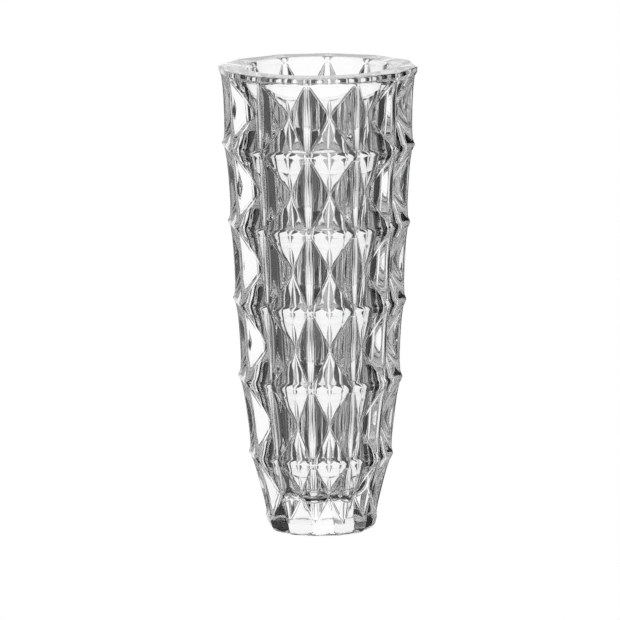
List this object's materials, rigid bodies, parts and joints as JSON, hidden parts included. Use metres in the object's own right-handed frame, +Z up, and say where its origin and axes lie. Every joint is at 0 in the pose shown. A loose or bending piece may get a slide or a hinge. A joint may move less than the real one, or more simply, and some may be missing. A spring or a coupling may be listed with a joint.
{
  "type": "cut crystal vase",
  "caption": "Tall tapered clear crystal vase with a thick wall, tiers of four-sided hollows between upright ribs, a many-sided flat rim and a smooth round bore.",
  "frame": {"origin": "on the vase's axis, in the plane of the ring that it stands on", "axes": "+Z up along the vase's axis towards the mouth; ribs stand at every thirtieth degree, one of them at -Y"},
  "size_m": [0.1302, 0.1302, 0.305],
  "materials": {
    "clear_crystal": "clear, fire-polished, smooth"
  },
  "bodies": {
    "root": {"vase_body": "clear_crystal"}
  },
  "joints": []
}
